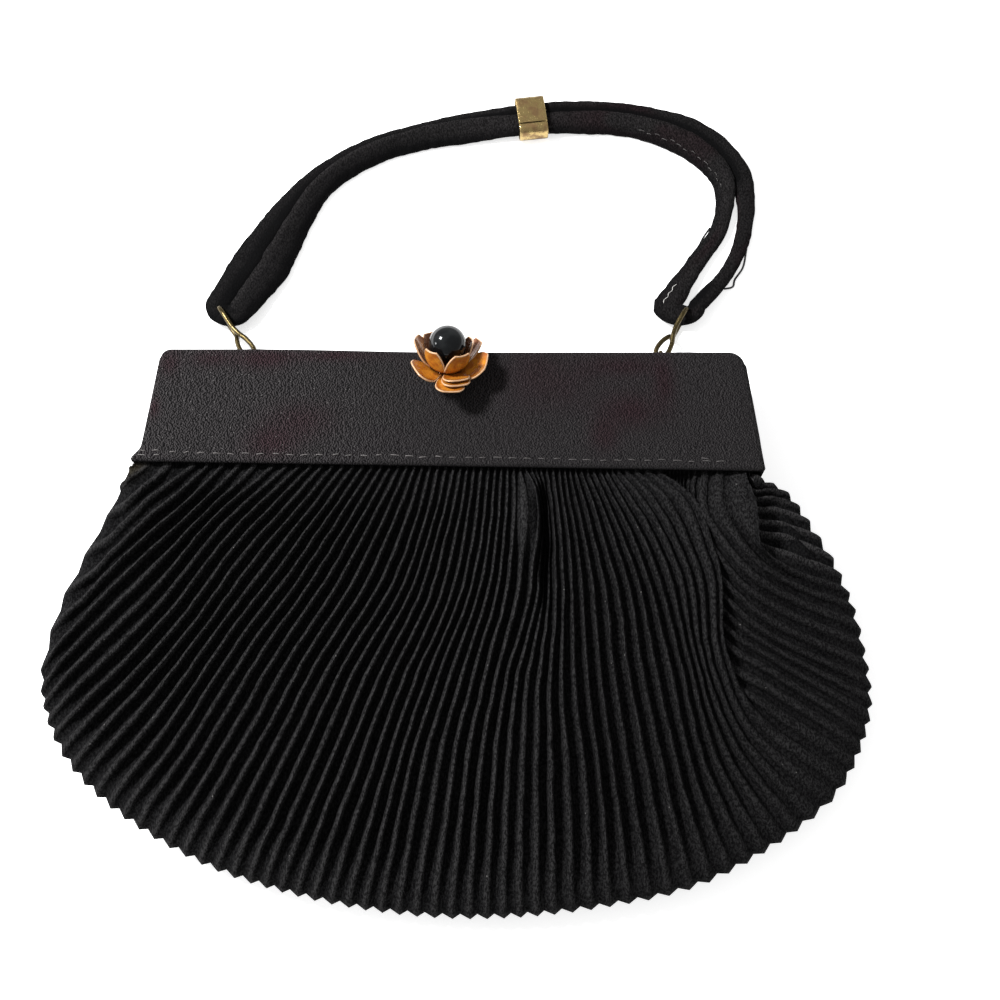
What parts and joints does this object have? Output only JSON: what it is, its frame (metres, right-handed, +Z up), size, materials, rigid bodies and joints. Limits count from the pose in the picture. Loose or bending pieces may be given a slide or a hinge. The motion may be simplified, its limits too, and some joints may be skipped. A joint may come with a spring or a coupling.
{
  "type": "pleated evening bag",
  "caption": "Black evening bag lying on its back: covered box frame with a flower and bead knob, fan-pleated cloth pouch, doubled cloth strap on twisted wire links with a brass slide.",
  "frame": {"origin": "middle of the bag's outline on the surface that it lies on", "axes": "+X along the frame, +Y from the pouch's hem towards the strap, +Z up through the bag's front"},
  "size_m": [0.2351, 0.2666, 0.0395],
  "materials": {
    "crape": "matte",
    "pleated_cloth": "matte",
    "enamel": "gloss",
    "bead": "gloss",
    "aged_brass": "aged",
    "steel": "plain"
  },
  "bodies": {
    "root": {"frame_front": "crape", "frame_back": "crape", "hinge_left": "steel", "hinge_right": "steel", "pouch": "pleated_cloth", "flower": "enamel", "bead": "bead", "eye_left": "aged_brass", "eye_right": "aged_brass", "link_left": "aged_brass", "link_right": "aged_brass", "strap": "crape", "slide": "aged_brass"}
  },
  "joints": []
}
